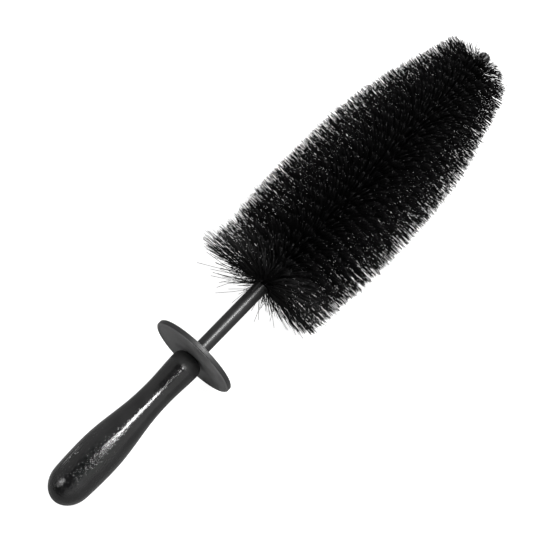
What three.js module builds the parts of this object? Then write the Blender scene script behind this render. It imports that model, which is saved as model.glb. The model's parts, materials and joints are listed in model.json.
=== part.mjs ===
// A long-reach wheel brush: a turned grip, a twisted wire stem in a plastic sleeve,
// a sliding splash guard and a tapering head of bristle rows.
// Everything is built along +X, from the butt of the handle to the tip, in millimetres.
// At the end the whole brush is tipped until it lies on its belly and bristles, with +Z up.
import * as THREE from 'three';

// ---- driving dimensions, along the brush from the butt at 0 ----
const TOTAL_LENGTH = 457;
const HANDLE_END = 133.4;
const SLEEVE_START = 70;
const SLEEVE_END = 205.5;
const WIRE_START = 40;
const WIRE_END = TOTAL_LENGTH - 5;
const HEAD_START = 206.5;

// ---- driving dimensions, radii and thicknesses ----
const BELLY_RADIUS = 15.4;
const WAIST_RADIUS = 10.1;
const NOSE_RADIUS = 11.4;
const SLEEVE_RADIUS = 5.33;
const SLEEVE_BORE = 3.5;
const WIRE_RADIUS = 1.5;
const GUARD_RADIUS = 33.3;
const GUARD_THICKNESS = 4;
const GUARD_CHAMFER = 0.7;
const CAP_RADIUS = 4.75;
const CAP_WALL = 1.2;
const CLEARANCE = 0.3;

// ---- the twist and the bristle rows that it holds ----
const ROW_COUNT = 30;
const ROW_SPACING = 7.95;
const TWIST_PITCH = 2 * ROW_SPACING;
const STRAND_OFFSET = WIRE_RADIUS + CLEARANCE / 2;
const TUFTS_PER_ROW = 12;
const TUFT_THICKNESS = 2.2;
const TUFT_ROOT_WIDTH = 1.7;
const TUFT_TIP_WIDTH = 1.5;
const ROW_BORE = STRAND_OFFSET + WIRE_RADIUS + 0.6;
const ROW_HUB = ROW_BORE + 1.5;

// ---- the outline of the head ----
const HEAD_BASE_RADIUS = 46;
const HEAD_SWELL = 4.3;
const HEAD_SWELL_END = 270;
const TAPER_START = 325;
const TAPER_DEPTH = 24;
const TAPER_POWER = 1.8;

// ---- how finely round things are cut ----
const HANDLE_SIDES = 24;
const GUARD_SIDES = 40;
const SLEEVE_SIDES = 20;
const CAP_SIDES = 16;
const WIRE_SIDES = 6;
const STEPS_PER_TURN = 7;

const LAST_ROW_START = HEAD_START + (ROW_COUNT - 1) * ROW_SPACING;
const ROW_DEPTH = ROW_SPACING * (1 - 2 / TUFTS_PER_ROW) + TUFT_THICKNESS;
const HEAD_END = LAST_ROW_START + ROW_DEPTH;
const GUARD_START = HANDLE_END + CLEARANCE;

const materials = {
  grip: new THREE.MeshStandardMaterial({ color: 0x141415, roughness: 0.22, metalness: 0 }),
  guard: new THREE.MeshStandardMaterial({ color: 0x2a2a2c, roughness: 0.5, metalness: 0 }),
  sleeve: new THREE.MeshStandardMaterial({ color: 0x242426, roughness: 0.38, metalness: 0 }),
  wire: new THREE.MeshStandardMaterial({ color: 0xb4b6b8, roughness: 0.3, metalness: 1 }),
  cap: new THREE.MeshStandardMaterial({ color: 0x3a3a3c, roughness: 0.6, metalness: 0 }),
  bristle: new THREE.MeshStandardMaterial({ color: 0x0c0c0d, roughness: 0.45, metalness: 0 }),
};

const brush = new THREE.Group();

function addPiece(name, geometry, material) {
  const piece = new THREE.Mesh(geometry, material);
  piece.name = name;
  brush.add(piece);
  return piece;
}

// Turns a closed outline of [along, radius] points about the X axis, with a flat facet underneath.
function turned(outline, sides) {
  const profile = outline.map(([along, radius]) => new THREE.Vector2(radius, along));
  const geometry = new THREE.LatheGeometry(profile, sides, Math.PI / sides);
  return geometry.rotateZ(-Math.PI / 2);
}

// Points on a quarter ellipse from angle `from` to angle `to`, as [along, radius].
function arc(centre, halfLength, halfHeight, base, from, to, count) {
  const curve = new THREE.EllipseCurve(centre, base, halfLength, halfHeight, from, to, from > to);
  return curve.getPoints(count).map((p) => [p.x, p.y]);
}

// A domed butt, a full belly, a slim waist, and a flare that rounds over to a flat nose.
// The stepped blind bore holds the sleeve, and behind it the bare ends of the wires.
function handleOutline() {
  const dome = 18;
  const domeRadius = 14.8;
  const noseRound = 7;
  const noseStart = HANDLE_END - noseRound;
  const butt = arc(dome, dome, domeRadius, 0, Math.PI, Math.PI / 2, 7);
  const side = new THREE.SplineCurve([
    new THREE.Vector2(dome, domeRadius),
    new THREE.Vector2(34, BELLY_RADIUS),
    new THREE.Vector2(50, 15.15),
    new THREE.Vector2(67, 13.1),
    new THREE.Vector2(83, 10.9),
    new THREE.Vector2(101, WAIST_RADIUS),
    new THREE.Vector2(115, 10.75),
    new THREE.Vector2(noseStart, NOSE_RADIUS),
  ]);
  const barrel = side.getSpacedPoints(14).slice(1).map((p) => [p.x, p.y]);
  const rounding = 4.2;
  const nose = arc(noseStart, noseRound, rounding, NOSE_RADIUS - rounding, Math.PI / 2, 0, 4).slice(1);
  const sleeveHole = SLEEVE_RADIUS + CLEARANCE;
  const bore = [
    [HANDLE_END, sleeveHole],
    [SLEEVE_START - CLEARANCE, sleeveHole],
    [SLEEVE_START - CLEARANCE, SLEEVE_BORE],
    [WIRE_START - CLEARANCE, SLEEVE_BORE],
    [WIRE_START - CLEARANCE, 0],
  ];
  return [...butt, ...barrel, ...nose, ...bore];
}

function sleeveOutline() {
  const ring = [
    [SLEEVE_START, SLEEVE_BORE],
    [SLEEVE_START, SLEEVE_RADIUS],
    [SLEEVE_END, SLEEVE_RADIUS],
    [SLEEVE_END, SLEEVE_BORE],
  ];
  return [...ring, ring[0]];
}

// A thick washer with chamfered edges, free to slide along the sleeve.
function guardOutline() {
  const bore = SLEEVE_RADIUS + CLEARANCE;
  const front = GUARD_START + GUARD_THICKNESS;
  const ring = [
    [GUARD_START, bore],
    [GUARD_START, GUARD_RADIUS - GUARD_CHAMFER],
    [GUARD_START + GUARD_CHAMFER, GUARD_RADIUS],
    [front - GUARD_CHAMFER, GUARD_RADIUS],
    [front, GUARD_RADIUS - GUARD_CHAMFER],
    [front, bore],
  ];
  return [...ring, ring[0]];
}

// A thimble with a rounded end, pushed over the cut ends of the wires.
function capOutline() {
  const mouth = HEAD_END + CLEARANCE;
  const bore = CAP_RADIUS - CAP_WALL;
  const round = 4.5;
  const floor = TOTAL_LENGTH - 3;
  const end = arc(TOTAL_LENGTH - round, round, CAP_RADIUS, 0, Math.PI / 2, 0, 5);
  return [[floor, 0], [floor, bore], [mouth, bore], [mouth, CAP_RADIUS], ...end];
}

// One strand of the stem: straight inside the handle, then winding about the axis to the tip.
class StemStrand extends THREE.Curve {
  constructor(startAngle) {
    super();
    this.startAngle = startAngle;
  }
  getPoint(t, target = new THREE.Vector3()) {
    const along = THREE.MathUtils.lerp(WIRE_START, WIRE_END, t);
    const wound = Math.max(along, SLEEVE_START) - HEAD_START;
    const angle = this.startAngle + 2 * Math.PI * wound / TWIST_PITCH;
    return target.set(along, -STRAND_OFFSET * Math.sin(angle), STRAND_OFFSET * Math.cos(angle));
  }
}

function wireStrand(startAngle) {
  const path = new StemStrand(startAngle);
  const round = new THREE.EllipseCurve(0, 0, WIRE_RADIUS, WIRE_RADIUS);
  const section = new THREE.Shape(round.getPoints(WIRE_SIDES).slice(1));
  const steps = Math.ceil(STEPS_PER_TURN * (WIRE_END - WIRE_START) / TWIST_PITCH);
  return new THREE.ExtrudeGeometry(section, { steps, extrudePath: path, bevelEnabled: false });
}

// The radius of the bristles at a place along the brush: a slight swell, then a taper to the tip.
function headRadius(along) {
  const swell = HEAD_SWELL * THREE.MathUtils.smoothstep(along, HEAD_START, HEAD_SWELL_END);
  const tapered = Math.max(0, (along - TAPER_START) / (TOTAL_LENGTH - TAPER_START));
  return HEAD_BASE_RADIUS + swell - TAPER_DEPTH * tapered ** TAPER_POWER;
}

// Which tuft an angle round the axis belongs to, from 0 to TUFTS_PER_ROW - 1.
function tuftAt(angle) {
  const share = THREE.MathUtils.euclideanModulo(angle / (2 * Math.PI), 1);
  return Math.floor(share * TUFTS_PER_ROW);
}

// The bristles that one half turn of the stem holds: a hub with a tuft in each direction.
// The twist sets opposite tufts level and each next pair a little further along.
function bristleRow(index) {
  const start = HEAD_START + index * ROW_SPACING;
  const radius = headRadius(start + ROW_DEPTH / 2);
  const sector = 2 * Math.PI / TUFTS_PER_ROW;
  const rootHalf = Math.asin(TUFT_ROOT_WIDTH / 2 / ROW_HUB);
  const tipHalf = Math.asin(TUFT_TIP_WIDTH / 2 / radius);
  const outline = [];
  const hole = [];
  const at = (radial, angle) => new THREE.Vector2(-radial * Math.cos(angle), -radial * Math.sin(angle));
  for (let tuft = 0; tuft < TUFTS_PER_ROW; tuft++) {
    const middle = (tuft + 0.5) * sector;
    outline.push(at(ROW_HUB, middle - rootHalf), at(radius, middle - tipHalf));
    outline.push(at(radius, middle + tipHalf), at(ROW_HUB, middle + rootHalf));
    hole.push(at(ROW_BORE, middle));
  }
  const shape = new THREE.Shape(outline);
  shape.holes.push(new THREE.Path(hole));
  const geometry = new THREE.ExtrudeGeometry(shape, { depth: TUFT_THICKNESS, bevelEnabled: false });
  geometry.rotateY(Math.PI / 2);
  const points = geometry.attributes.position;
  const perHalfTurn = TUFTS_PER_ROW / 2;
  for (let i = 0; i < points.count; i++) {
    const tuft = tuftAt(Math.atan2(-points.getY(i), points.getZ(i)));
    const step = (tuft + perHalfTurn / 2) % perHalfTurn;
    points.setX(i, start + points.getX(i) + ROW_SPACING * step / perHalfTurn);
  }
  return geometry;
}

// The angle of the line under the brush that its belly and its first bristles both touch.
function restingSlope(balancePoint) {
  const points = [];
  const vertex = new THREE.Vector3();
  brush.traverse((piece) => {
    if (!piece.isMesh) return;
    const position = piece.geometry.attributes.position;
    for (let i = 0; i < position.count; i++) {
      vertex.fromBufferAttribute(position, i);
      points.push([vertex.x, vertex.z]);
    }
  });
  points.sort((a, b) => a[0] - b[0] || a[1] - b[1]);
  const under = [];
  const turn = (a, b, c) => (b[0] - a[0]) * (c[1] - a[1]) - (b[1] - a[1]) * (c[0] - a[0]);
  for (const point of points) {
    while (under.length > 1 && turn(under.at(-2), under.at(-1), point) <= 0) under.pop();
    under.push(point);
  }
  const next = under.findIndex((point) => point[0] > balancePoint);
  const [rear, front] = [under[next - 1], under[next]];
  return Math.atan2(front[1] - rear[1], front[0] - rear[0]);
}

addPiece('handle', turned(handleOutline(), HANDLE_SIDES), materials.grip);
addPiece('stem_sleeve', turned(sleeveOutline(), SLEEVE_SIDES), materials.sleeve);
addPiece('stem_wire_a', wireStrand(0), materials.wire);
addPiece('stem_wire_b', wireStrand(Math.PI), materials.wire);
addPiece('splash_guard', turned(guardOutline(), GUARD_SIDES), materials.guard);
addPiece('tip_cap', turned(capOutline(), CAP_SIDES), materials.cap);
for (let index = 0; index < ROW_COUNT; index++) {
  const number = String(index + 1).padStart(2, '0');
  addPiece(`bristle_row_${number}`, bristleRow(index), materials.bristle);
}

// Tip the brush until that line is level, and stand the middle of its footprint on the origin.
brush.rotation.y = restingSlope(SLEEVE_END);
brush.updateMatrixWorld(true);
const box = new THREE.Box3().setFromObject(brush, true);
const middle = box.getCenter(new THREE.Vector3());
brush.position.set(-middle.x, -middle.y, -box.min.z);

export default brush;
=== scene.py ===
# %% [markdown]
# # A long-reach wheel brush
#
# This lesson dresses a finished CAD model of a wheel brush. The CAD model holds every size, so it
# is loaded first and nothing in it is moved. Each hard piece is then modelled again with a finer
# surface, and each row of bristles is grown from one strand.
#
# The brush lies on its belly, so its own axis is tilted. It is easier to model a turned piece
# along X, straight and level, and to drop it into place at the end. One matrix does that for
# every piece. Its first column is the direction in which the guard slides, which is the axis.

import json
import math

import bpy
import numpy as np
from mathutils import Matrix, Vector


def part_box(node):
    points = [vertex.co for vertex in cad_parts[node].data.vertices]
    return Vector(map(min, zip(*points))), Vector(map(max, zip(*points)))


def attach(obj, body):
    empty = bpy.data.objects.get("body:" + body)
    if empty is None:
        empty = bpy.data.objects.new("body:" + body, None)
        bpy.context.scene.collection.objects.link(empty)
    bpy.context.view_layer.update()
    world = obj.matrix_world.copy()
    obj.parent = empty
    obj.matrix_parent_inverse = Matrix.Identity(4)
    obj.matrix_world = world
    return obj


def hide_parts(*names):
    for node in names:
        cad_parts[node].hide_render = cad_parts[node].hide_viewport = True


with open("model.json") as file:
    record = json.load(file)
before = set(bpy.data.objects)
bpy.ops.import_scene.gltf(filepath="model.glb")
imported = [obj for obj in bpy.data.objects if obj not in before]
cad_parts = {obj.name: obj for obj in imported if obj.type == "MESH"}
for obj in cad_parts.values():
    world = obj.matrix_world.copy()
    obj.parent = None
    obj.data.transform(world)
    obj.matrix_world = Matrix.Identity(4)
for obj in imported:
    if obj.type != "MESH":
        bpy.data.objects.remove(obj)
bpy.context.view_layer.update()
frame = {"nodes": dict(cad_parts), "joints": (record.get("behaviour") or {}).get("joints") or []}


# %% The brush's own axes
def node_points(node):
    """A CAD node's corners as an array, one row each."""
    mesh = frame["nodes"][node].data
    points = np.zeros(len(mesh.vertices) * 3)
    mesh.vertices.foreach_get("co", points)
    return points.reshape(-1, 3)


along = Vector(frame["joints"][0]["axis"]).normalized()
across = Vector((0, 1, 0))
upward = along.cross(across)
sleeve_low, sleeve_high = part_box("stem_sleeve")
on_axis = (sleeve_low + sleeve_high) / 2
butt_station = min((node_points("handle") - np.array(on_axis)) @ np.array(along))
butt = on_axis + along * float(butt_station)
brush_axes = Matrix((along, across, upward)).transposed()
INTO_PLACE = Matrix.Translation(butt) @ brush_axes.to_4x4()
print("butt", tuple(butt), "tilt", round(math.degrees(along.angle((1, 0, 0))), 2))


# %% [markdown]
# Sizes are read from the CAD nodes in the brush's own axes: how far along it a node starts and
# ends, and how far it reaches from the axis. A turned node gives its whole outline this way,
# because all of its corners at one station lie on one circle.

# %% Stations and outlines
def in_brush(node):
    """A CAD node's corners as distance along the brush and distance from its axis."""
    inverse = np.array(INTO_PLACE.inverted())
    points = node_points(node) @ inverse[:3, :3].T + inverse[:3, 3]
    return points[:, 0], np.hypot(points[:, 1], points[:, 2])


def extent(node):
    """Where a node starts and ends along the brush, and its radius."""
    station, radius = in_brush(node)
    return float(station.min()), float(station.max()), float(radius.max())


def outer_outline(node):
    """The outer outline of a turned node, as (station, radius) from its butt end to its tip end."""
    station, radius = in_brush(node)
    rings = {}
    for s, r in zip(np.round(station, 5), radius):
        rings[s] = max(rings.get(s, 0), r)
    return [(float(s), float(rings[s])) for s in sorted(rings)]


_, handle_end, _ = extent("handle")
sleeve_start, sleeve_end, sleeve_radius = extent("stem_sleeve")
guard_start, guard_end, guard_radius = extent("splash_guard")
cap_start, cap_end, cap_radius = extent("tip_cap")
rows = sorted(name for name in frame["nodes"] if name.startswith("bristle_row"))
row_starts = [extent(name)[0] for name in rows]
row_spacing = (row_starts[-1] - row_starts[0]) / (len(rows) - 1)
print(len(rows), "rows,", round(row_spacing * 1000, 2), "mm apart; guard radius", guard_radius)

# %% [markdown]
# ## The camera
#
# The brush is seen from behind the handle and above, so that it runs up the picture to the right
# with its tip farther away. A long lens keeps the perspective gentle. The camera looks at a place
# on the brush that is a little to one side of the axis, which sets the brush just off centre.

# %% Camera
AZIMUTH = math.radians(-47.4)
ELEVATION = math.radians(55.2)
VIEW_DISTANCE = 1.0523
AIM_STATION = 0.2181
AIM_ASIDE = 0.0074
LENS_MM = 101.3

back = Vector(
    (
        math.sin(AZIMUTH) * math.cos(ELEVATION),
        -math.cos(AZIMUTH) * math.cos(ELEVATION),
        math.sin(ELEVATION),
    )
)
picture_right = Vector((math.cos(AZIMUTH), math.sin(AZIMUTH), 0))
picture_up = back.cross(picture_right)
slope = math.atan2(along.dot(picture_up), along.dot(picture_right))
aside = picture_right * math.sin(slope) - picture_up * math.cos(slope)
aim = butt + along * AIM_STATION - aside * AIM_ASIDE

camera = bpy.data.objects.new("camera", bpy.data.cameras.new("camera"))
bpy.context.scene.collection.objects.link(camera)
camera.location = aim + back * VIEW_DISTANCE
camera.rotation_euler = back.to_track_quat("Z", "Y").to_euler()
camera.data.lens = LENS_MM
camera.data.sensor_width = 36
bpy.context.scene.camera = camera
print("the brush rises at", round(math.degrees(slope), 2), "degrees in the picture")

# %% [markdown]
# ## Helpers for node trees
#
# The floor, the room and every finish are node trees. These small functions add a node, set it,
# wire its inputs and give back its output, so that a tree reads like a sum. A socket knows the
# tree that it is in, by its id_data, and a new node goes into the same tree.

# %% Helpers for node trees
def new_group(name, result, **numbers):
    """A node group that takes a Vector and some named numbers, and puts out one result."""
    group = bpy.data.node_groups.new(name, "ShaderNodeTree")
    group.interface.new_socket("Vector", in_out="INPUT", socket_type="NodeSocketVector")
    for label, value in numbers.items():
        label = label.replace("_", " ")
        socket = group.interface.new_socket(label, in_out="INPUT", socket_type="NodeSocketFloat")
        socket.default_value = value
    group.interface.new_socket(result, in_out="OUTPUT", socket_type="NodeSocketFloat")
    return group, group.nodes.new("NodeGroupInput"), group.nodes.new("NodeGroupOutput")


def math_node(operation, first, second=None, clamp=False):
    """A Math node on a socket and a socket or number. It returns its output socket."""
    tree = first.id_data
    node = tree.nodes.new("ShaderNodeMath")
    node.operation = operation
    node.use_clamp = clamp
    for slot, value in enumerate((first, second)):
        if isinstance(value, (int, float)):
            node.inputs[slot].default_value = value
        elif value is not None:
            tree.links.new(value, node.inputs[slot])
    return node.outputs[0]


def times(first, second):
    """The product of a socket and a socket or number."""
    return math_node("MULTIPLY", first, second)


def plus(first, second, clamp=False):
    """The sum of a socket and a socket or number."""
    return math_node("ADD", first, second, clamp)


def graded(mask, base, more):
    """A base value, and so much more of it where a mask is 1."""
    return plus(times(mask, more), base)


def remap(value, low, high, to_low, to_high):
    """A Map Range node that eases a value from one range to another."""
    tree = value.id_data
    node = tree.nodes.new("ShaderNodeMapRange")
    node.interpolation_type = "SMOOTHSTEP"
    for slot, number in enumerate((low, high, to_low, to_high), start=1):
        node.inputs[slot].default_value = number
    tree.links.new(value, node.inputs["Value"])
    return node.outputs["Result"]


def noise_node(vector, scale, detail, roughness=0.5):
    """A Noise texture. Its scale is a number or a socket."""
    tree = vector.id_data
    node = tree.nodes.new("ShaderNodeTexNoise")
    node.inputs["Detail"].default_value = detail
    node.inputs["Roughness"].default_value = roughness
    tree.links.new(vector, node.inputs["Vector"])
    if isinstance(scale, (int, float)):
        node.inputs["Scale"].default_value = scale
    else:
        tree.links.new(scale, node.inputs["Scale"])
    return node.outputs["Fac"]


def split(vector):
    """The X, Y and Z of coordinates, as sockets with these names."""
    parts = vector.id_data.nodes.new("ShaderNodeSeparateXYZ")
    vector.id_data.links.new(vector, parts.inputs[0])
    return parts.outputs


def stretched(vector, stretch):
    """Coordinates squeezed along X by a factor, which draws a pattern out lengthwise."""
    tree, parts = vector.id_data, split(vector)
    joined = tree.nodes.new("ShaderNodeCombineXYZ")
    tree.links.new(math_node("DIVIDE", parts["X"], stretch), joined.inputs["X"])
    tree.links.new(parts["Y"], joined.inputs["Y"])
    tree.links.new(parts["Z"], joined.inputs["Z"])
    return joined.outputs[0]


# %% [markdown]
# ## The floor
#
# Black plastic has hardly any colour of its own, so it is drawn by what it reflects. In a studio
# that is controlled with cards: the table is white where the camera sees it, but the brush itself
# is surrounded by greys.
#
# The floor is plain and pale. A Light Path node tells a ray from the camera from a ray that comes
# from the brush, so the floor can be a white light table for the camera and a grey one for the
# brush. The picture's colours are shown without a film curve, because white and deep black should
# stay what they are.

# %% Floor
FLOOR_SIZE = 8.0
FLOOR_GREY = 0.24
TABLE_GLOW = 0.95

bpy.ops.object.select_all(action="DESELECT")
bpy.ops.mesh.primitive_plane_add(size=FLOOR_SIZE, location=(0, 0, 0))
floor = bpy.context.object
floor.name = "floor"
floor_paint = bpy.data.materials.new("floor_paint")
floor_paint.use_nodes = True
floor_tree = floor_paint.node_tree
floor_shader = floor_tree.nodes["Principled BSDF"]
floor_shader.inputs["Base Color"].default_value = (FLOOR_GREY, FLOOR_GREY, FLOOR_GREY, 1)
floor_shader.inputs["Roughness"].default_value = 0.9
floor_shader.inputs["Specular IOR Level"].default_value = 0.1
floor_shader.inputs["Emission Color"].default_value = (1, 1, 1, 1)
floor_ray = floor_tree.nodes.new("ShaderNodeLightPath")
glow = times(floor_ray.outputs["Is Camera Ray"], TABLE_GLOW)
floor_tree.links.new(glow, floor_shader.inputs["Emission Strength"])
floor.data.materials.append(floor_paint)
bpy.context.scene.view_settings.view_transform = "Standard"
print("floor", FLOOR_SIZE, "m wide")

# %% [markdown]
# ## The light
#
# The room is brighter to the right of the brush than to the left, which gives the sides of the
# handle their two greys. Above the brush it has a dark gap, which is long from left to right and
# stays open towards the rear. The handle's deep black band is this gap's reflection. The camera
# sees a white room, by a Light Path node again.

# %% Room light
ROOM_LEFT = 0.5
ROOM_RIGHT = 0.95
SIDES_MEET = (-0.25, 0.1)
GAP_LIGHT = 0.05
GAP_LEFT = (-0.8, -0.62)
GAP_RIGHT = (0.15, 0.4)
GAP_FRONT = (0.1, 0.22)

facing_brush = (back - along * back.dot(along)).normalized()
room = bpy.data.worlds.new("room")
bpy.context.scene.world = room
room.use_nodes = True
room_tree = room.node_tree
looking = room_tree.nodes.new("ShaderNodeTexCoord")


def looked(direction):
    """How much a ray looks in a direction: 1 straight at it, 0 across it, -1 away from it."""
    node = room_tree.nodes.new("ShaderNodeVectorMath")
    node.operation = "DOT_PRODUCT"
    node.inputs[1].default_value = direction
    room_tree.links.new(looking.outputs["Generated"], node.inputs[0])
    return node.outputs["Value"]


rightwards, forwards = looked(aside), looked(along)
sides = remap(rightwards, *SIDES_MEET, ROOM_LEFT, ROOM_RIGHT)
gap_left = remap(rightwards, *GAP_LEFT, 0.0, 1.0)
gap_right = remap(rightwards, *GAP_RIGHT, 1.0, 0.0)
gap_front = remap(forwards, *GAP_FRONT, 1.0, 0.0)
gap = times(times(gap_left, gap_right), gap_front)
open_room = times(sides, remap(gap, 0.0, 1.0, 1.0, GAP_LIGHT))
room_ray = room_tree.nodes.new("ShaderNodeLightPath")
seen = math_node("MAXIMUM", room_ray.outputs["Is Camera Ray"], open_room)
backdrop = room_tree.nodes["Background"]
backdrop.inputs["Color"].default_value = (1, 1, 1, 1)
room_tree.links.new(seen, backdrop.inputs["Strength"])
print("room", ROOM_LEFT, "to", ROOM_RIGHT, "with a gap of", GAP_LIGHT)

# %% [markdown]
# One narrow, bright soft box hangs in the dark gap, with its length along the brush. It draws the
# white streak along the handle and the thin line on the sleeve. A small lamp on the left, behind
# the butt, picks out the edge of the butt.

# %% Soft box and edge lamp
LIT_STATION = 0.09
BOX_DISTANCE = 0.8
BOX_WIDTH = 0.14
BOX_LENGTH = 0.52
BOX_LEAN = math.radians(29)
BOX_ASIDE = math.radians(4)
BOX_WATTS = 10
EDGE_STATION = 0.012
EDGE_DISTANCE = 1.2
EDGE_SIZE = 0.3
EDGE_WATTS = 5.0
EDGE_ABOVE = 0.6
EDGE_BEHIND = 0.5
EDGE_LEFT = 0.63


def hang_light(name, station, direction, distance, width, length, watts):
    """A rectangular light that faces a place on the brush, with its length along the brush."""
    light = bpy.data.objects.new(name, bpy.data.lights.new(name, "AREA"))
    bpy.context.scene.collection.objects.link(light)
    light.data.shape = "RECTANGLE"
    light.data.size = width
    light.data.size_y = length
    light.data.energy = watts
    light_across = along.cross(direction).normalized()
    light_along = direction.cross(light_across)
    turn = Matrix((light_across, light_along, direction)).transposed()
    place = butt + along * station + direction * distance
    light.matrix_world = Matrix.Translation(place) @ turn.to_4x4()
    light.visible_camera = False
    print(name, "at", tuple(round(c, 3) for c in place))


box_direction = facing_brush * math.cos(BOX_LEAN) + along * math.sin(BOX_LEAN)
box_direction = Matrix.Rotation(BOX_ASIDE, 3, along) @ box_direction
hang_light("soft_box", LIT_STATION, box_direction, BOX_DISTANCE, BOX_WIDTH, BOX_LENGTH, BOX_WATTS)
edge_direction = facing_brush * EDGE_ABOVE - along * EDGE_BEHIND - aside * EDGE_LEFT
edge_direction = edge_direction.normalized()
hang_light("edge", EDGE_STATION, edge_direction, EDGE_DISTANCE, EDGE_SIZE, EDGE_SIZE, EDGE_WATTS)

# %% [markdown]
# ## Modelling turned pieces
#
# The handle and the guard are round about the brush's axis. Such a piece can be bent out of a
# cylinder, but drawing its outline and spinning it is quicker and exact: one corner is extruded
# from point to point along the outline, and the line is spun once round the X axis. The doubled
# seam and the poles are merged, and the faces are turned outwards.

# %% Spinning an outline
SEED_SIZE = 0.001
MERGE_DISTANCE = 0.00001


def select_all_in_edit(mode="VERT"):
    """Goes into edit mode and selects the whole piece."""
    bpy.ops.object.mode_set(mode="EDIT")
    bpy.ops.mesh.select_mode(type=mode)
    bpy.ops.mesh.select_all(action="SELECT")


def spun(name, outline, steps, closed=False):
    """A mesh object spun about X from an outline of (station, radius), straight and level."""
    bpy.ops.object.select_all(action="DESELECT")
    station, radius = outline[0]
    bpy.ops.mesh.primitive_plane_add(size=SEED_SIZE, location=(0, 0, 0))
    piece = bpy.context.object
    piece.name = name
    select_all_in_edit()
    bpy.ops.mesh.merge(type="CENTER")
    bpy.ops.mesh.select_all(action="SELECT")
    bpy.ops.transform.translate(value=(station, 0, radius))
    points = list(outline[1:]) + ([outline[0]] if closed else [])
    for next_station, next_radius in points:
        move = (next_station - station, 0, next_radius - radius)
        bpy.ops.mesh.extrude_region_move(TRANSFORM_OT_translate={"value": move})
        station, radius = next_station, next_radius
    bpy.ops.mesh.select_all(action="SELECT")
    bpy.ops.mesh.spin(steps=steps, angle=math.tau, center=(0, 0, 0), axis=(1, 0, 0))
    clean_up()
    bpy.ops.object.mode_set(mode="OBJECT")
    return piece


def clean_up():
    """Merges doubled corners and turns all faces outwards, in edit mode."""
    bpy.ops.mesh.select_all(action="SELECT")
    bpy.ops.mesh.remove_doubles(threshold=MERGE_DISTANCE)
    bpy.ops.mesh.normals_make_consistent(inside=False)


# %% Finishing a shape and handing it over
BEVEL_STEPS = 3
SHARP_ANGLE = math.radians(40)
SMOOTH_ANGLE = math.radians(35)


def finish_shape(piece, bevel=0.0, levels=0):
    """Rounds edges with a Bevel modifier, smooths with Subdivision Surface, and applies both."""
    bpy.ops.object.select_all(action="DESELECT")
    piece.select_set(True)
    bpy.context.view_layer.objects.active = piece
    if bevel:
        rounding = piece.modifiers.new("edges", "BEVEL")
        rounding.width = bevel
        rounding.segments = BEVEL_STEPS
        rounding.limit_method = "ANGLE"
        rounding.angle_limit = SHARP_ANGLE
        bpy.ops.object.modifier_apply(modifier=rounding.name)
    if levels:
        smooth = piece.modifiers.new("smooth", "SUBSURF")
        smooth.levels = smooth.render_levels = levels
        bpy.ops.object.modifier_apply(modifier=smooth.name)
    bpy.ops.object.shade_smooth_by_angle(angle=SMOOTH_ANGLE)
    print(piece.name, "is shaped with", len(piece.data.polygons), "faces")


def put_in_place(piece, body, slot, material, *nodes):
    """Drops a straight, level piece onto the tilted brush, and hands it over."""
    piece.data.transform(INTO_PLACE)
    hand_over(piece, body, slot, material, *nodes)


def hand_over(piece, body, slot, material, *nodes):
    """Gives a piece its finish, hangs it on what it moves with, and hides the CAD nodes it stands
    for.
    """
    piece.data.materials.clear()
    piece.data.materials.append(material)
    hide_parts(*nodes)
    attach(piece, body)
    faces = sum(len(p.vertices) - 2 for p in piece.data.polygons)
    print(piece.name, "has", faces, "triangles")


# %% [markdown]
# ## Finishes
#
# Four effects come back in several finishes, so each is a shader node group that is built once.
# A group only gives out masks and heights. The Principled shader stays in each material, and a
# value that is the same all over a surface is typed into its socket.
#
# Patterns run along the brush, not along the room. A Mapping node of the kind called Texture does
# the reverse of a move, so with the butt's place and the brush's turn it gives coordinates that
# start at the butt with X along the axis, in metres.

# %% [markdown]
# The first group is the grain of a drawn-out surface: short lengthwise streaks of an uneven skin.
# The second is a soft mottle, which lets gloss come and go. The third makes thin, sparse scuffs: it
# keeps the narrow lines where a stretched noise crosses its middle value, in patches that a second
# noise lays out. The fourth makes pits and specks.

# %% Grain and mottle
COARSE_SCALE = 0.3
COARSE_SHARE = 0.8
CLOUD_EDGE = (0.35, 0.68)


def make_grain():
    group, given, out = new_group("lengthwise_grain", "Height", Per_Metre=1500.0, Stretch=4.0)
    drawn = stretched(given.outputs["Vector"], given.outputs["Stretch"])
    fine = noise_node(drawn, given.outputs["Per Metre"], detail=3.0, roughness=0.6)
    coarse_scale = times(given.outputs["Per Metre"], COARSE_SCALE)
    coarse = noise_node(drawn, coarse_scale, detail=2.0)
    mixed = plus(fine, times(coarse, COARSE_SHARE))
    group.links.new(mixed, out.inputs["Height"])
    return group


def make_mottle():
    group, given, out = new_group("soft_mottle", "Mask", Per_Metre=120.0)
    scale = given.outputs["Per Metre"]
    cloud = noise_node(given.outputs["Vector"], scale, detail=4.0, roughness=0.55)
    group.links.new(remap(cloud, *CLOUD_EDGE, 0.0, 1.0), out.inputs["Mask"])
    return group


GRAIN, MOTTLE = make_grain(), make_mottle()
print("node groups", GRAIN.name, "and", MOTTLE.name)

# %% Scuffs and pits
NOISE_MIDDLE = 0.5
SCUFF_WIDTH = 0.012
PATCHES_PER_METRE = 55.0
PATCH_EDGE = (0.55, 0.66)
PIT_EDGE = (0.1, 0.32)


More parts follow.
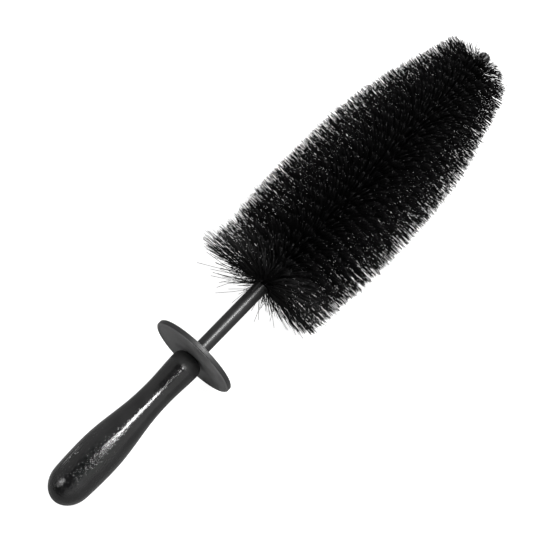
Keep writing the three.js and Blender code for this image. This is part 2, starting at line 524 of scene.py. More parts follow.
def make_scuffs():
    numbers = {"Per_Metre": 260.0, "Stretch": 9.0, "Coverage": 0.0}
    group, given, out = new_group("thin_scuffs", "Mask", **numbers)
    drawn = stretched(given.outputs["Vector"], given.outputs["Stretch"])
    lines = noise_node(drawn, given.outputs["Per Metre"], detail=1.0)
    off_middle = math_node("SUBTRACT", lines, NOISE_MIDDLE)
    off_middle = math_node("ABSOLUTE", off_middle)
    thin = remap(off_middle, 0.0, SCUFF_WIDTH, 1.0, 0.0)
    where = noise_node(given.outputs["Vector"], PATCHES_PER_METRE, detail=2.0)
    where = plus(where, given.outputs["Coverage"])
    sparse = remap(where, *PATCH_EDGE, 0.0, 1.0)
    group.links.new(times(thin, sparse), out.inputs["Mask"])
    return group


def make_pits():
    group, given, out = new_group("small_pits", "Mask", Per_Metre=900.0)
    cells = group.nodes.new("ShaderNodeTexVoronoi")
    group.links.new(given.outputs["Vector"], cells.inputs["Vector"])
    group.links.new(given.outputs["Per Metre"], cells.inputs["Scale"])
    dots = remap(cells.outputs["Distance"], *PIT_EDGE, 1.0, 0.0)
    group.links.new(dots, out.inputs["Mask"])
    return group


SCUFFS, PITS = make_scuffs(), make_pits()
print("node groups", SCUFFS.name, "and", PITS.name)


# %% [markdown]
# Every finish starts with the same coordinates and ends in the same sockets of its shader. In
# between, effects are placed, a mask becomes a colour, and a height becomes a surface.

# %% Starting a finish
def new_finish(name):
    """A material with its Principled shader and lengthwise coordinates that start at the butt."""
    material = bpy.data.materials.new(name)
    material.use_nodes = True
    tree = material.node_tree
    place = tree.nodes.new("ShaderNodeTexCoord")
    turn = tree.nodes.new("ShaderNodeMapping")
    turn.vector_type = "TEXTURE"
    turn.inputs["Location"].default_value = butt
    turn.inputs["Rotation"].default_value = brush_axes.to_euler()
    tree.links.new(place.outputs["Object"], turn.inputs["Vector"])
    return material, tree.nodes["Principled BSDF"], turn.outputs["Vector"]


def radius_of(vector):
    """The distance of a point from the brush's axis."""
    parts = split(vector)
    square_y = times(parts["Y"], parts["Y"])
    square_z = times(parts["Z"], parts["Z"])
    return math_node("SQRT", plus(square_y, square_z))


def along_brush(vector, start, end, before, after):
    """A value that changes between two stations along the brush."""
    return remap(split(vector)["X"], start, end, before, after)


def effect(group, vector, **values):
    """A shared effect with its own values."""
    tree = vector.id_data
    node = tree.nodes.new("ShaderNodeGroup")
    node.node_tree = group
    tree.links.new(vector, node.inputs["Vector"])
    for name, value in values.items():
        node.inputs[name.replace("_", " ")].default_value = value
    return node.outputs[0]


def colour_between(mask, dark, light):
    """A colour that goes from dark to light with a mask."""
    tree = mask.id_data
    ramp = tree.nodes.new("ShaderNodeMix")
    ramp.data_type = "RGBA"
    ramp.inputs["A"].default_value = (*dark, 1)
    ramp.inputs["B"].default_value = (*light, 1)
    tree.links.new(mask, ramp.inputs["Factor"])
    return ramp.outputs["Result"]


def bump(height, depth_mm, strength=1.0, under=None):
    """A Bump node for a height from 0 to 1 that stands for a depth in millimetres."""
    tree = height.id_data
    node = tree.nodes.new("ShaderNodeBump")
    node.inputs["Distance"].default_value = depth_mm / 1000
    node.inputs["Strength"].default_value = strength
    tree.links.new(height, node.inputs["Height"])
    if under is not None:
        tree.links.new(under, node.inputs["Normal"])
    return node.outputs["Normal"]


def dress(shader, colour, rough, normal=None):
    """Wires colour, roughness and surface into a shader."""
    tree = shader.id_data
    tree.links.new(colour, shader.inputs["Base Color"])
    tree.links.new(rough, shader.inputs["Roughness"])
    if normal is not None:
        tree.links.new(normal, shader.inputs["Normal"])


# %% [markdown]
# ## The handle
#
# The grip is one round moulding, lacquered black: a domed butt, a full belly for the palm, a slim
# waist for the fingers and a nose that rounds over to a flat face. The CAD outline is spun with
# more steps and then subdivided, so that the white streak of the soft box runs along it smoothly.
# A blind bore takes the sleeve, as on the real one.

# %% Handle shape
GAP = 0.0003
BORE_ROUND = 0.0004
WIRE_BORE = 0.0035
DOME_LENGTH = 0.018
HANDLE_STEPS = 48
bore_radius = sleeve_radius + GAP
wire_start, wire_end, _ = extent("stem_wire_a")


def handle_outline():
    """The CAD's outer outline without the rings of its bore, and then the stepped blind bore."""
    outline = outer_outline("handle")
    outer = [(s, r) for s, r in outline if s < DOME_LENGTH or r > bore_radius + 2 * GAP]
    bore = [
        (handle_end, bore_radius + BORE_ROUND),
        (handle_end - BORE_ROUND, bore_radius),
        (sleeve_start - GAP, bore_radius),
        (sleeve_start - GAP, WIRE_BORE),
        (wire_start - GAP, WIRE_BORE),
        (wire_start - GAP, 0.0),
    ]
    return outer + bore


handle = spun("handle_grip", handle_outline(), HANDLE_STEPS)
finish_shape(handle, levels=2)

# %% [markdown]
# The lacquer is glossy but not perfect. Its skin is uneven, most of all near the butt, with short
# bumps and pits that only show where the bright reflection ends and breaks up. One side of the
# butt is scratched, where it rubs against things, and the nose is dull.

# %% Handle finish
LACQUER_BLACK = (0.004, 0.004, 0.0041)
SCRATCH_GREY = (0.25, 0.25, 0.25)
MOTTLE_TINT = 0.015
SCRATCH_ROUGH = 0.3


def make_lacquer():
    material, shader, vector = new_finish("black_lacquer")
    uneven = uneven_butt(vector)
    grain = times(effect(GRAIN, vector, Per_Metre=620.0, Stretch=1.6), uneven)
    pits = times(effect(PITS, vector, Per_Metre=560.0), uneven)
    mottle = effect(MOTTLE, vector, Per_Metre=90.0)
    scuffs = effect(SCUFFS, vector, Per_Metre=300.0, Stretch=7.0, Coverage=0.3)
    worn = times(scuffs, rubbed_place(vector))
    tint = math_node("MAXIMUM", times(mottle, MOTTLE_TINT), worn)
    colour = colour_between(tint, LACQUER_BLACK, SCRATCH_GREY)
    gloss = graded(mottle, base=0.1, more=0.04)
    rough = plus(gloss, times(worn, SCRATCH_ROUGH))
    rough = plus(rough, dull_nose(vector))
    skin = bump(grain, depth_mm=0.36)
    dress(shader, colour, rough, bump(pits, depth_mm=-0.12, under=skin))
    return material


# %% Places on the handle
RUBBED_STARTS = (0.018, 0.023)
RUBBED_ENDS = (0.035, 0.04)
RUBBED_SIDE = (0.75, 0.66)
RUBBED_DEPTH = 0.0128
RUBBED_FADE = 0.001
RUBBED_ELSEWHERE = 0.02
SKIN_SETTLES = (0.04, 0.07)
SETTLED_SKIN = 0.35
NOSE_LENGTH = 0.013
NOSE_FADE = 0.006
NOSE_ROUGH = 0.6


def rubbed_place(vector):
    """1 where the butt is scratched, and a trace everywhere else."""
    starts = along_brush(vector, *RUBBED_STARTS, 0.0, 1.0)
    ends = along_brush(vector, *RUBBED_ENDS, 1.0, 0.0)
    parts = split(vector)
    towards_side = times(parts["Y"], RUBBED_SIDE[0])
    upwards = times(parts["Z"], RUBBED_SIDE[1])
    reach = plus(towards_side, upwards)
    side = remap(reach, RUBBED_DEPTH, RUBBED_DEPTH + RUBBED_FADE, 0.0, 1.0)
    place = times(times(starts, ends), side)
    return math_node("MAXIMUM", place, RUBBED_ELSEWHERE)


def uneven_butt(vector):
    """1 near the butt, where the skin is most uneven, and less towards the waist."""
    return along_brush(vector, *SKIN_SETTLES, 1.0, SETTLED_SKIN)


def dull_nose(vector):
    """How much rougher the nose is than the rest of the handle."""
    nose = handle_end - NOSE_LENGTH
    return along_brush(vector, nose, nose + NOSE_FADE, 0.0, NOSE_ROUGH)


put_in_place(handle, "brush", "grip_plastic", make_lacquer(), "handle")

# %% [markdown]
# ## The sleeve
#
# A plastic tube covers the wire stem from inside the handle to the bristles. It starts as a
# cylinder. Both end faces are inset by the thickness of the wall, and bridging the two inner
# faces opens the tube. The edges at its ends are then rounded a little.

# %% Sleeve shape
SLEEVE_WALL = 0.0018
SLEEVE_SIDES = 64
END_FACING = 0.9


def cylinder_along_x(name, start, end, radius, sides):
    """A cylinder on the X axis, left in edit mode with nothing selected."""
    bpy.ops.object.select_all(action="DESELECT")
    bpy.ops.mesh.primitive_cylinder_add(
        vertices=sides,
        radius=radius,
        depth=end - start,
        location=((start + end) / 2, 0, 0),
        rotation=(0, math.pi / 2, 0),
    )
    bpy.ops.object.transform_apply(location=True, rotation=True, scale=True)
    piece = bpy.context.object
    piece.name = name
    select_all_in_edit("FACE")
    bpy.ops.mesh.select_all(action="DESELECT")
    return piece


def select_faces(piece, wanted):
    """Selects, in edit mode, the faces for which wanted(centre, normal) is true."""
    bpy.ops.mesh.select_all(action="DESELECT")
    bpy.ops.object.mode_set(mode="OBJECT")
    for face in piece.data.polygons:
        face.select = wanted(face.center, face.normal)
    bpy.ops.object.mode_set(mode="EDIT")


sleeve = cylinder_along_x("stem_tube", sleeve_start, sleeve_end, sleeve_radius, SLEEVE_SIDES)
select_faces(sleeve, lambda centre, normal: abs(normal.x) > END_FACING)
bpy.ops.mesh.inset(thickness=SLEEVE_WALL, use_individual=True)
bpy.ops.mesh.bridge_edge_loops()
bpy.ops.object.mode_set(mode="OBJECT")
finish_shape(sleeve, bevel=0.0004)

# %% [markdown]
# The tube is extruded, so fine lines run along it. Its satin skin draws the soft box as one thin,
# slightly blurred line, and handling has scuffed it here and there.

# %% Sleeve finish
SLEEVE_BLACK = (0.004, 0.004, 0.0041)
SLEEVE_GREY = (0.02, 0.02, 0.02)
SLEEVE_MOTTLE = 0.25
SLEEVE_SCUFFS = 0.2


def make_sleeve_plastic():
    material, shader, vector = new_finish("extruded_sleeve")
    lines = effect(GRAIN, vector, Per_Metre=1800.0, Stretch=60.0)
    mottle = effect(MOTTLE, vector, Per_Metre=160.0)
    scuffs = effect(SCUFFS, vector, Per_Metre=420.0, Stretch=5.0)
    tint = plus(times(mottle, SLEEVE_MOTTLE), times(scuffs, SLEEVE_SCUFFS))
    colour = colour_between(tint, SLEEVE_BLACK, SLEEVE_GREY)
    rough = graded(tint, base=0.37, more=0.1)
    dress(shader, colour, rough, bump(lines, depth_mm=0.015, strength=0.15))
    shader.inputs["Specular IOR Level"].default_value = 0.5
    return material


put_in_place(sleeve, "brush", "sleeve_plastic", make_sleeve_plastic(), "stem_sleeve")

# %% [markdown]
# ## The splash guard
#
# A thick rubber washer keeps dirty water off the hand. Its outline is drawn as a closed line and
# spun: chamfered edges, a rim that stands a little proud on both faces, and a bore that slides on
# the sleeve.

# %% Guard shape
RIM_WIDTH = 0.0022
RIM_PROUD = 0.0003
CHAMFER = 0.0007
GUARD_STEPS = 128


def guard_outline():
    """Bore, rear face, rim and front face, as a closed line."""
    inner, outer = bore_radius, guard_radius
    rear, front = guard_start, guard_end
    return [
        (rear + RIM_PROUD, inner),
        (rear + RIM_PROUD, outer - RIM_WIDTH - RIM_PROUD),
        (rear, outer - RIM_WIDTH),
        (rear, outer - CHAMFER),
        (rear + CHAMFER, outer),
        (front - CHAMFER, outer),
        (front, outer - CHAMFER),
        (front, outer - RIM_WIDTH),
        (front - RIM_PROUD, outer - RIM_WIDTH - RIM_PROUD),
        (front - RIM_PROUD, inner),
    ]


guard = spun("splash_washer", guard_outline(), GUARD_STEPS, closed=True)
finish_shape(guard, bevel=0.00015)

# %% [markdown]
# Moulded rubber is duller than the lacquer. Faint rings round the bore are left from the mould.
# Its two faces are painted paler than the side of its rim, a painted reflection of the bright room.

# %% Guard finish
GUARD_BLACK = (0.01, 0.01, 0.0102)
# The light grey is a painted reflection of the room on the guard's faces.
GUARD_PAINTED_FACE_GREY = (0.2, 0.2, 0.201)
FACE_FADE = 0.0002


def make_guard_rubber():
    material, shader, vector = new_finish("guard_rubber")
    mottle = effect(MOTTLE, vector, Per_Metre=70.0)
    specks = effect(PITS, vector, Per_Metre=1100.0)
    tone_and_painted_light = graded(mottle, base=0.6, more=0.4)
    # A mottled tone, and a painted reflection that makes the faces paler than the rim's side.
    tone_and_painted_light = times(tone_and_painted_light, painted_face_reflection(vector))
    colour = colour_between(tone_and_painted_light, GUARD_BLACK, GUARD_PAINTED_FACE_GREY)
    rough = graded(mottle, base=0.42, more=0.12)
    ringed = bump(mould_rings(vector), depth_mm=0.03, strength=0.35)
    surface = bump(specks, depth_mm=0.02, strength=0.3, under=ringed)
    dress(shader, colour, rough, surface)
    return material


def mould_rings(vector):
    """Rings round the brush's axis."""
    tree = vector.id_data
    rings = tree.nodes.new("ShaderNodeTexWave")
    rings.wave_type = "RINGS"
    rings.rings_direction = "X"
    rings.inputs["Scale"].default_value = 160.0
    rings.inputs["Distortion"].default_value = 1.5
    rings.inputs["Detail"].default_value = 2.0
    tree.links.new(vector, rings.inputs["Vector"])
    return rings.outputs["Fac"]


def painted_face_reflection(vector):
    """1 over the guard's two faces, where a reflection of the room is painted, and 0 on the side of
    its rim.
    """
    edge = guard_radius - CHAMFER / 2
    return remap(radius_of(vector), edge - FACE_FADE, edge + FACE_FADE, 1.0, 0.0)


put_in_place(guard, "guard", "guard_rubber", make_guard_rubber(), "splash_guard")

# %% [markdown]
# ## The stem
#
# Two steel wires are wound round each other and grip the bristles between them. One wire is a
# long thin cylinder set beside the axis and cut into short lengths. A Simple Deform modifier then
# twists it. The twist is nothing at the origin, so the wire is modelled with the start of the head
# at the origin, and moved afterwards. The second wire starts on the other side of the axis.

# %% Stem wires
WIRE_RADIUS = 0.0015
WIRE_ASIDE = WIRE_RADIUS + GAP / 2
WIRE_SIDES = 12
CUTS_PER_TURN = 14
WHOLE_LENGTH = 0.9
head_start = row_starts[0]
twist_pitch = 2 * row_spacing


def stem_wire(name, side):
    """One wire of the stem: side is 1 for the wire that starts above the axis, -1 for below."""
    start, end = wire_start - head_start, wire_end - head_start
    wire = cylinder_along_x(name, start, end, WIRE_RADIUS, WIRE_SIDES)
    bpy.ops.mesh.select_all(action="SELECT")
    bpy.ops.transform.translate(value=(0, 0, side * WIRE_ASIDE))
    turns = (wire_end - wire_start) / twist_pitch
    cuts = round(turns * CUTS_PER_TURN)
    select_long_edges(wire)
    bpy.ops.mesh.subdivide(number_cuts=cuts)
    bpy.ops.object.mode_set(mode="OBJECT")
    twist = wire.modifiers.new("twist", "SIMPLE_DEFORM")
    twist.deform_method = "TWIST"
    twist.deform_axis = "X"
    twist.angle = math.tau * turns
    bpy.ops.object.modifier_apply(modifier=twist.name)
    wire.data.transform(Matrix.Translation((head_start, 0, 0)))
    bpy.ops.object.shade_smooth_by_angle(angle=SHARP_ANGLE)
    return wire


def select_long_edges(piece):
    """Selects the edges that run the whole length of a piece, in edit mode."""
    bpy.ops.mesh.select_mode(type="EDGE")
    bpy.ops.mesh.select_all(action="DESELECT")
    bpy.ops.object.mode_set(mode="OBJECT")
    corners = piece.data.vertices
    for edge in piece.data.edges:
        start, end = (corners[i].co for i in edge.vertices)
        edge.select = abs(start.x - end.x) > WHOLE_LENGTH * piece.dimensions.x
    bpy.ops.object.mode_set(mode="EDIT")


wire_a, wire_b = stem_wire("twisted_wire_a", 1), stem_wire("twisted_wire_b", -1)
print("the wires turn once in", round(twist_pitch * 1000, 2), "mm")

# %% [markdown]
# The wires are drawn steel. Drawing leaves fine lines along them, and damp has dulled them in
# places. They are metal all over, so that is typed into the socket.

# %% Steel finish
STEEL_DARK = (0.12, 0.12, 0.123)
STEEL_LIGHT = (0.4, 0.4, 0.405)


def make_drawn_steel():
    material, shader, vector = new_finish("drawn_steel")
    lines = effect(GRAIN, vector, Per_Metre=2600.0, Stretch=12.0)
    mottle = effect(MOTTLE, vector, Per_Metre=300.0)
    colour = colour_between(mottle, STEEL_DARK, STEEL_LIGHT)
    rough = graded(mottle, base=0.22, more=0.1)
    dress(shader, colour, rough, bump(lines, depth_mm=0.01, strength=0.3))
    shader.inputs["Metallic"].default_value = 1.0
    return material


drawn_steel = make_drawn_steel()
put_in_place(wire_a, "brush", "stem_wire", drawn_steel, "stem_wire_a")
put_in_place(wire_b, "brush", "stem_wire", drawn_steel, "stem_wire_b")

# %% [markdown]
# ## The tip cap
#
# A small rubber thimble covers the cut ends of the wires, so that they can't scratch a wheel. It
# is spun from its outline. Its side then has narrow strips of faces, and two of every four are
# extruded outwards a little, which gives the ribs that help to push it on.

# %% Tip cap shape
CAP_SIDES = 32
CAP_WALL = 0.0012
CAP_ROUND = 0.0045
CAP_ROUND_STEPS = 8
RIB_HEIGHT = 0.0006
STRIPS_PER_RIB = 4
OUTWARDS = 0.0005
SIDE_FACING = 0.75


def cap_outline():
    """Bore, mouth, side and rounded end, as a line from the axis back to the axis."""
    skin = cap_radius - RIB_HEIGHT
    bore = cap_radius - CAP_WALL
    round_start = cap_end - CAP_ROUND
    line = [(wire_end + GAP, 0.0), (wire_end + GAP, bore), (cap_start, bore), (cap_start, skin)]
    for step in range(CAP_ROUND_STEPS + 1):
        turn = math.pi / 2 * step / CAP_ROUND_STEPS
        line.append((round_start + CAP_ROUND * math.sin(turn), skin * math.cos(turn)))
    return line


def is_rib(centre, normal):
    """True for two of every four strips round the outer side of the cap."""
    strip = int((math.atan2(centre.y, centre.z) % math.tau) / math.tau * CAP_SIDES)
    outer = normal.y * centre.y + normal.z * centre.z > OUTWARDS
    return outer and strip % STRIPS_PER_RIB < 2 and abs(normal.x) < SIDE_FACING


cap = spun("wire_end_cap", cap_outline(), CAP_SIDES)
bpy.ops.object.mode_set(mode="EDIT")
bpy.ops.mesh.select_mode(type="FACE")
select_faces(cap, is_rib)
bpy.ops.mesh.extrude_region_shrink_fatten(TRANSFORM_OT_shrink_fatten={"value": RIB_HEIGHT})
bpy.ops.object.mode_set(mode="OBJECT")
finish_shape(cap, bevel=0.00008)

# %% [markdown]
# The cap's ribs are painted paler than the grooves between them: painted light on the ribs and
# painted shade in the grooves. The distance from the axis tells the two apart.

# %% Tip cap finish
CAP_BLACK = (0.003, 0.003, 0.0031)
# The ribs' grey is painted light, against painted shade in the grooves.
CAP_PAINTED_RIB_GREY = (0.09, 0.09, 0.091)
RIB_PAINTED_LIGHT = 0.6


def make_cap_rubber():
    material, shader, vector = new_finish("cap_rubber")
    mottle = effect(MOTTLE, vector, Per_Metre=400.0)
    specks = effect(PITS, vector, Per_Metre=1600.0)
    # Ribs painted paler than the grooves: painted light and painted shade, with a mottled tone.
    painted_rib_mask = remap(radius_of(vector), cap_radius - RIB_HEIGHT, cap_radius, 0.0, 1.0)
    tone_and_painted_light = times(painted_rib_mask, plus(mottle, RIB_PAINTED_LIGHT))
    colour = colour_between(tone_and_painted_light, CAP_BLACK, CAP_PAINTED_RIB_GREY)
    rough = graded(mottle, base=0.4, more=0.15)
    dress(shader, colour, rough, bump(specks, depth_mm=0.02, strength=0.4))
    return material


put_in_place(cap, "brush", "cap_rubber", make_cap_rubber(), "tip_cap")

# %% [markdown]
# ## The bristles
#
# Thousands of thin filaments are held between the two wires. Each half turn of the wires grips one
# row of them, and the row fans out once all round, a little farther along the brush at each angle.
# A particle system could grow hair like this, but it can't follow the twist of the wires, and the
# hair would have to be made into meshes anyway.
#
# So one strand is modelled: a cylinder with three sides, cut across so that it can bow. It is one
# unit long and its radius is one unit. Every row is filled with copies of it. The copies are
# placed with arrays of numbers, because moving more than twelve thousand of them one by one with
# operators would take hours.

# %% One strand
STRAND_CUTS = (1 / 3, 2 / 3)
bpy.ops.object.select_all(action="DESELECT")
bpy.ops.mesh.primitive_cylinder_add(vertices=3, radius=1, depth=1, location=(0, 0, 0.5))
bpy.ops.object.transform_apply(location=True, rotation=True, scale=True)
strand = bpy.context.object
strand.name = "one_strand"
for height in STRAND_CUTS:
    select_all_in_edit()
    bpy.ops.mesh.bisect(plane_co=(0, 0, height), plane_no=(0, 0, 1))
select_all_in_edit()
bpy.ops.mesh.quads_convert_to_tris()
bpy.ops.object.mode_set(mode="OBJECT")

strand_points = np.array([v.co[:] for v in strand.data.vertices])
strand_faces = np.array([p.vertices[:] for p in strand.data.polygons])
bpy.data.objects.remove(strand, do_unlink=True)
print("one strand has", len(strand_faces), "triangles")

# %% [markdown]
# A strand is known by where it leaves the wires, where its tip is, and how far its middle bows
# out. All the strands of a row are worked out at once, with one array for each of these.
#
# Lengths come first. The rows of the CAD give the outline of the head, and the fringe corrects it
# towards the tip. No two strands are cut quite alike, some are worn short and a few stand out.

# %% How long the strands are
FRINGE_STATIONS = (0.33, 0.385, 0.41, 0.435, 0.45)
FRINGE_LONGER = (0.0022, 0.0006, -0.001, -0.0012, -0.005)
UNEVEN_CUT = 0.016
WORN_SHARE = 0.22
WORN_BY = 0.006
PROUD_SHARE = 0.04
PROUD_BY = 0.003

chance = np.random.default_rng(41)
row_stations = np.array(row_starts)
row_radii = np.array([extent(name)[2] for name in rows])


def few(count, share):
    """Numbers from 0 to 1 for a share of the strands, and 0 for the rest."""
    return np.where(chance.random(count) < share, chance.random(count), 0)


def strand_lengths(station):
    """How long the strands are at each station: the CAD's radius, made uneven."""
    count = len(station)
    length = np.interp(station, row_stations + row_spacing / 2, row_radii)
    length += np.interp(station, FRINGE_STATIONS, FRINGE_LONGER)
    length *= 1 + chance.normal(0, UNEVEN_CUT, count)
    length -= few(count, WORN_SHARE) * WORN_BY
    return length + few(count, PROUD_SHARE) * PROUD_BY


print("strands up to", round(row_radii.max() * 1000, 1), "mm long")

# %% [markdown]
# How far a strand leans along the brush depends on its row and on its side. At the start of the
# head nothing holds the strands from behind, so they lean back on the worn side, and a few strays
# lean far back over the sleeve. At the tip they are swept forward by use, most of all on the worn
# side, but hardly on top, where the cap stays in sight.

# %% Lean
WORN_SIDE = math.radians(-65)
BACK_LEAN = (0.0042, 0.0015, 0.0)
BACK_SPREAD = 0.0014
STRAY_SHARE = 0.08
STRAY_LEAN = 0.024
LEAN_START = 0.37
LEAN_END = 0.45
LEAN_FORWARD = 0.003
LEAN_MORE = 0.015
LEAN_RANGE = (0.2, 1.2)
SWEPT_SHARE = 0.15
SWEPT_FORWARD = 0.008


def lean(index, station, angle):
    """How far each strand's tip is shifted along the brush from its root."""
    count = len(station)
    on_top = np.clip(np.cos(angle), 0, 1)
    worn_side = np.clip(np.cos(angle - WORN_SIDE), 0, 1)
    forward = np.clip((station - LEAN_START) / (LEAN_END - LEAN_START), 0, 1) ** 2
    swept = few(count, SWEPT_SHARE) * SWEPT_FORWARD
    combed = (LEAN_FORWARD + LEAN_MORE * worn_side) * chance.uniform(*LEAN_RANGE, count)
    shift = forward * (1 - on_top) * (combed + swept)
    if index < len(BACK_LEAN):
        shift += chance.normal(0, BACK_SPREAD, count) - BACK_LEAN[index] * worn_side
    if index == 0:
        shift -= few(count, STRAY_SHARE) * STRAY_LEAN
    return shift


print("the first rows lean back by", BACK_LEAN, "and the last forward by up to", LEAN_MORE)

# %% [markdown]
# The head sits a little off centre on its wires, and its two ends are uneven: the first rows are
# longer on the worn side, and at the tip the other side is cut shorter.

# %% Longer and shorter sides
OFF_CENTRE = 0.0007
LONG_START = (0.0075, 0.003, 0.0)
SHORT_FROM = 0.435
SHORT_TO = 0.45
SHORT_END = 0.008
LONG_END = 0.006


def lengths_by_side(index, station, angle):
    """Strand lengths that differ from side to side."""
    count = len(station)
    side = np.cos(angle - WORN_SIDE)
    worn_side = np.clip(side, 0, 1)
    length = strand_lengths(station) - OFF_CENTRE * side
    at_end = np.clip((station - SHORT_FROM) / (SHORT_TO - SHORT_FROM), 0, 1)
    length -= SHORT_END * at_end * (1 - worn_side)
    length += LONG_END * at_end * worn_side * chance.random(count)
    if index < len(LONG_START):
        length += LONG_START[index] * worn_side * chance.random(count)
    return length


# %% [markdown]
# The wires grip a row in the gap between them, so it is as thick as that gap where it starts. Every
# strand is gripped a little before or after its own place, which closes the core to the light.
# Strands are spread evenly round the half turn, and every second one points the other way. Right
# behind the sleeve, where the winding begins, some more are crowded together.

# %% Where strands leave the wires
STRANDS_PER_ROW = 415
CROWDED_STRANDS = 180
CROWDED_LENGTH = 0.0025
CORE_REACH = 0.0008
CORE_HALF_THICKNESS = 0.0009
CORE_SPREAD = 0.0024


def around(angle):
    """Unit vectors away from the axis, at angles counted from straight up towards -Y."""
    return np.stack([np.zeros_like(angle), -np.sin(angle), np.cos(angle)], axis=1)


def places_in_row(index):
    """Station and angle of every strand of a row."""
    order = np.arange(STRANDS_PER_ROW)
    turn = (order + chance.random(STRANDS_PER_ROW)) / STRANDS_PER_ROW
    side = order % 2
    station = row_starts[index] + row_spacing * turn
    return station, math.pi * (index + turn + side + 0.5)


def crowded_places():
    """Station and angle of the crowded strands."""
    station = row_starts[0] + CROWDED_LENGTH * chance.random(CROWDED_STRANDS)
    return station, math.tau * chance.random(CROWDED_STRANDS)


def strand_roots(station, angle):
    """The points in the gap between the wires where strands start."""
    count = len(station)
    sideways = chance.uniform(-CORE_HALF_THICKNESS, CORE_HALF_THICKNESS, count)[:, None]
    roots = around(angle) * CORE_REACH + around(angle + math.pi / 2) * sideways
    jitter = chance.normal(0, CORE_SPREAD, count)
    roots[:, 0] = np.clip(station + jitter, row_starts[0], wire_end)
    return roots


print(STRANDS_PER_ROW * len(rows) + CROWDED_STRANDS, "strands in all")

# %% [markdown]
# A strand that leans keeps its length, so its tip comes nearer to the axis. One that leans far
# back is a stray: shorter, more bowed, and never as far back as the guard can slide.

# %% Rows of strands
TIP_SPREAD = 0.0008
ANGLE_SPREAD = 0.03
LEAST_REACH = 0.3
BOW = 0.0004
STRAY_FROM = -0.0055
STRAY_LENGTH = (0.55, 0.95)
STRAY_BOW = 6
FARTHEST_BACK = 0.0215


def row_strands(index):
    """Roots, tips and bows of one row of strands, as one array each."""
    places = places_in_row(index)
    if index == 0:
        places = [np.concatenate(pair) for pair in zip(places, crowded_places())]
    station, angle = places
    count = len(station)
    tip_angle = angle + chance.normal(0, ANGLE_SPREAD, count)
    length = lengths_by_side(index, station, angle)
    shift = lean(index, station, angle) + chance.normal(0, TIP_SPREAD, count)
    stray = shift < STRAY_FROM
    length = np.where(stray, length * chance.uniform(*STRAY_LENGTH, count), length)
    reach = np.sqrt(np.maximum(length**2 - shift**2, (LEAST_REACH * length) ** 2))
    roots = strand_roots(station, angle)
    tips = around(tip_angle) * reach[:, None]
    tips[:, 0] = np.maximum(station + shift, head_start - FARTHEST_BACK)
    bows = chance.normal(0, BOW, (count, 3)) * np.where(stray, STRAY_BOW, 1)[:, None]
    return roots, tips, bows


# %% [markdown]
# The brush lies on the floor, so the strands under the first rows can't be longer than the room
# that they have. A strand that would pass through the floor is cut there. The bow is nothing at
# both ends of a strand and largest in its middle.

# %% Filling a row
STRAND_RADIUS = 0.000175
FLOOR_GAP = 0.0003
LEAST_DROP = 0.0001


def into_place(points):
    """Straight, level points moved onto the tilted brush."""
    matrix = np.array(INTO_PLACE)
    return points @ matrix[:3, :3].T + matrix[:3, 3]


def cut_at_floor(roots, tips):
    """Tips moved up their own strands until they clear the floor."""
    room = (roots[:, 2] - FLOOR_GAP) / np.maximum(roots[:, 2] - tips[:, 2], LEAST_DROP)
    keep = np.clip(np.where(tips[:, 2] < FLOOR_GAP, room, 1), 0, 1)
    return roots + (tips - roots) * keep[:, None]


def copies_of_strand(roots, tips, bows):
    """The corners of all the copies of the strand."""
    line = tips - roots
    line /= np.linalg.norm(line, axis=1)[:, None]
    sideways = np.cross(line, np.array(along))
    sideways /= np.linalg.norm(sideways, axis=1)[:, None]
    upright = np.cross(line, sideways)
    x, y, t = (strand_points[:, i][None, :, None] for i in range(3))
    centres = roots[:, None] + (tips - roots)[:, None] * t + bows[:, None] * 4 * t * (1 - t)
    points = centres + STRAND_RADIUS * (x * sideways[:, None] + y * upright[:, None])
    points[:, :, 2] = np.maximum(points[:, :, 2], FLOOR_GAP)
    return points


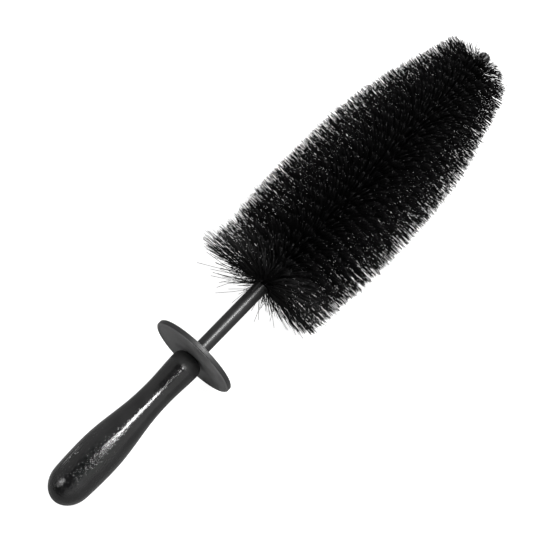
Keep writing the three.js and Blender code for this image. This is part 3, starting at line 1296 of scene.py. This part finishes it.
def fill_row(index):
    """One row of bristles as a mesh object, in its place."""
    roots, tips, bows = row_strands(index)
    roots, tips = into_place(roots), into_place(tips)
    points = copies_of_strand(roots, cut_at_floor(roots, tips), bows)
    copies, corners = points.shape[:2]
    faces = strand_faces[None] + corners * np.arange(copies)[:, None, None]
    mesh = bpy.data.meshes.new(f"bristles_{index + 1:02d}")
    mesh.from_pydata(points.reshape(-1, 3).tolist(), [], faces.reshape(-1, 3).tolist())
    mesh.polygons.foreach_set("use_smooth", [True] * len(mesh.polygons))
    add_values(mesh, "along_strand", np.tile(strand_points[:, 2], copies))
    add_values(mesh, "which_strand", np.repeat(chance.random(copies), corners))
    row = bpy.data.objects.new(mesh.name, mesh)
    bpy.context.scene.collection.objects.link(row)
    return row


def add_values(mesh, name, values):
    """One number on each corner of a mesh, which a material can read by its name."""
    mesh.attributes.new(name, "FLOAT", "POINT").data.foreach_set("value", values)


# %% [markdown]
# Bristles are drawn from black plastic. Two numbers that every strand carries steer the finish:
# how far along the strand a point is, and a number of the strand's own. Some strands are a little
# glossier or greyer than others, and some cut tips are painted pale, as painted glints where the
# tips catch the light. The first rows are a little greyer.

# %% Bristle finish
FIBRE_BLACK = (0.0028, 0.0028, 0.0029)
FIBRE_GREY = (0.05, 0.05, 0.0503)
# From here to its end a strand can be painted paler: painted glints on the cut tips.
TIP_FROM = 0.96
OWN_GREY = 0.03
STREAK_GREY = 0.02
START_GREY = 0.5
GREYER_BEFORE = 0.005
GREYER_AFTER = 0.03


def attribute(shader, name):
    """A number that a mesh carries under a name."""
    node = shader.id_data.nodes.new("ShaderNodeAttribute")
    node.attribute_name = name
    return node.outputs["Fac"]


def greyer_start(vector):
    """More grey on the first rows, which fades out a little way along the head."""
    return along_brush(vector, head_start - GREYER_BEFORE, head_start + GREYER_AFTER, START_GREY, 0.0)


def make_bristle_fibre():
    material, shader, vector = new_finish("bristle_fibre")
    own = attribute(shader, "which_strand")
    # Painted glints: some cut tips are painted paler.
    tip = remap(attribute(shader, "along_strand"), TIP_FROM, 1.0, 0.0, 1.0)
    streaks = effect(MOTTLE, vector, Per_Metre=500.0)
    grey = times(math_node("POWER", own, 3.0), OWN_GREY)
    grey = plus(grey, times(streaks, STREAK_GREY))
    grey = plus(grey, times(greyer_start(vector), own))
    grey = plus(grey, times(tip, own), clamp=True)
    colour = colour_between(grey, FIBRE_BLACK, FIBRE_GREY)
    dress(shader, colour, graded(own, base=0.42, more=0.2))
    shader.inputs["Specular IOR Level"].default_value = 0.015
    return material


bristle_fibre = make_bristle_fibre()
for index, name in enumerate(rows):
    hand_over(fill_row(index), "brush", "bristle_fibre", bristle_fibre, name)
